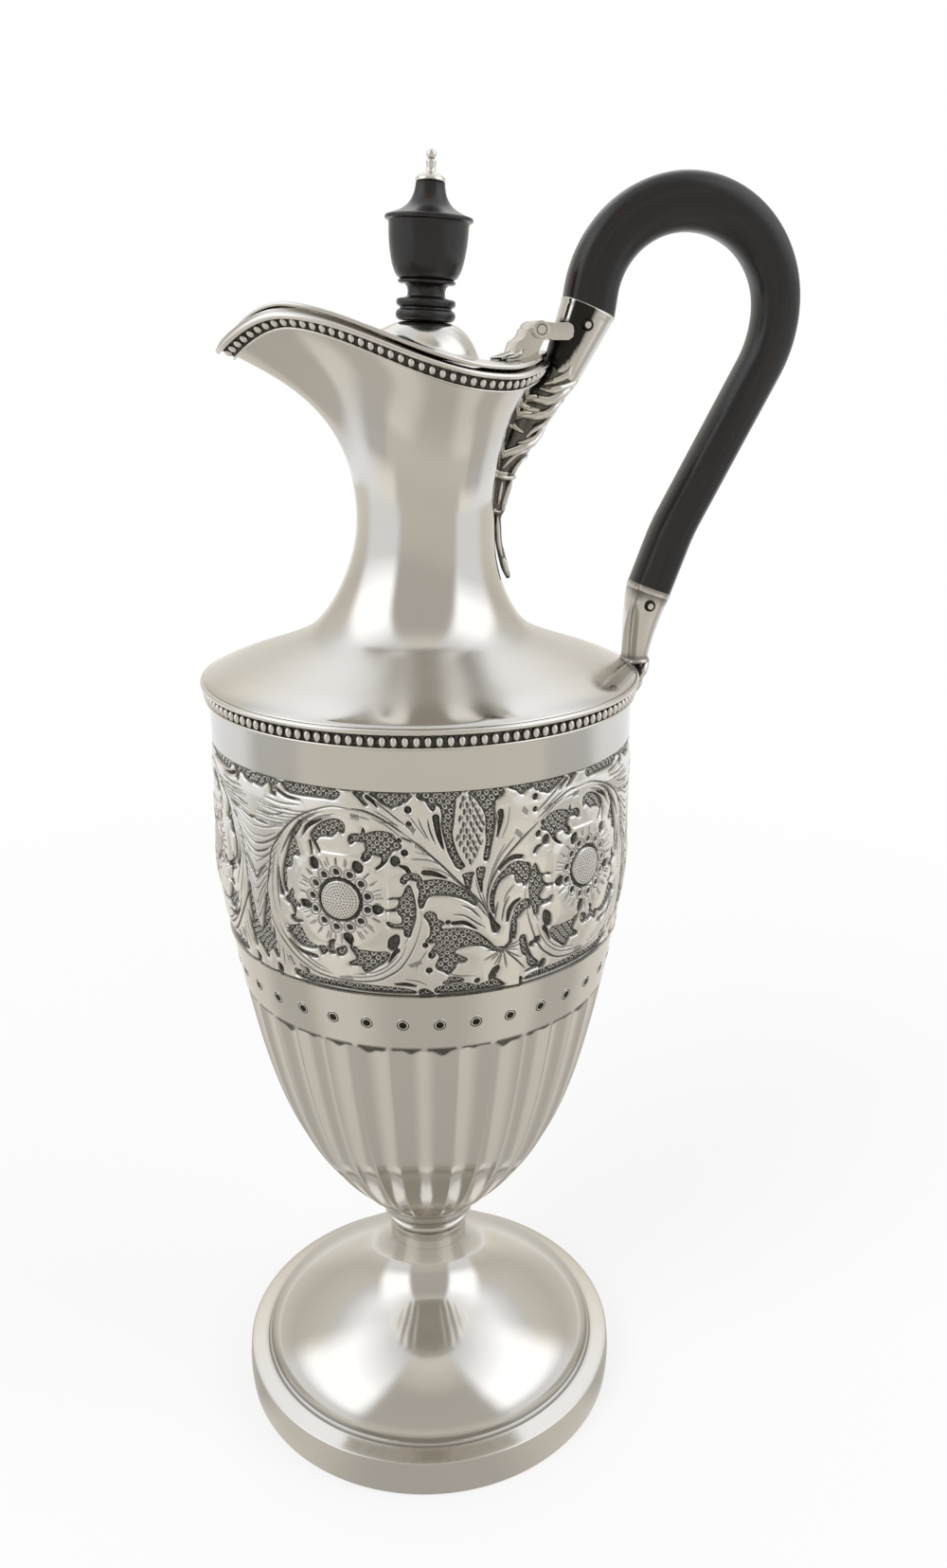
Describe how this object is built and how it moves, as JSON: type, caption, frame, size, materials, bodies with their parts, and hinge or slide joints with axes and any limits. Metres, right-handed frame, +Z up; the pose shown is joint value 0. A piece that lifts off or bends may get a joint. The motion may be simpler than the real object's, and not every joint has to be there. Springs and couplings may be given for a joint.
{
  "type": "lidded ewer",
  "caption": "Silver wine ewer on a domed foot, with a chased urn body, waisted neck, beaded spout lip, hinged lid with an ebony finial, and a looped ebony handle.",
  "frame": {"origin": "centre of the circle on which the foot stands", "axes": "+Z up along the body's axis; +X towards the handle, -X towards the spout; the XZ plane halves the ewer"},
  "size_m": [0.1471, 0.1088, 0.3296],
  "materials": {
    "polished_silver": "polished silver sheet with a warm, slightly worn shine",
    "chased_silver": "polished silver, chased and punched, with dark tarnish in the recesses",
    "bead_silver": "polished silver beading on a dark tarnished ground",
    "cast_silver": "polished cast silver",
    "ebony": "satin ebony"
  },
  "bodies": {
    "jug": {"foot_rim_band": "polished_silver", "foot_dome": "polished_silver", "stem_collar": "polished_silver", "body_bowl": "chased_silver", "shoulder_border": "bead_silver", "shoulder_cover": "polished_silver", "neck_and_spout": "polished_silver", "lip_border": "bead_silver", "upper_socket": "cast_silver", "upper_socket_pin": "cast_silver", "neck_leaf": "cast_silver", "handle_grip": "ebony", "lower_socket": "cast_silver", "lower_socket_pin": "cast_silver", "shoulder_leaf": "cast_silver", "hinge_lug": "cast_silver", "hinge_pin": "cast_silver"},
    "lid": {"lid_cover": "polished_silver", "lid_hinge_arm": "cast_silver", "finial_rod": "cast_silver", "finial_nut": "cast_silver", "finial_urn": "ebony", "finial_cap": "cast_silver"}
  },
  "joints": [
    {"name": "lid_hinge", "type": "hinge", "parent": "jug", "child": "lid", "pos_m": [0.0279, 0, 0.2922], "axis": [0, 1, 0], "range_deg": [0, 60]}
  ]
}
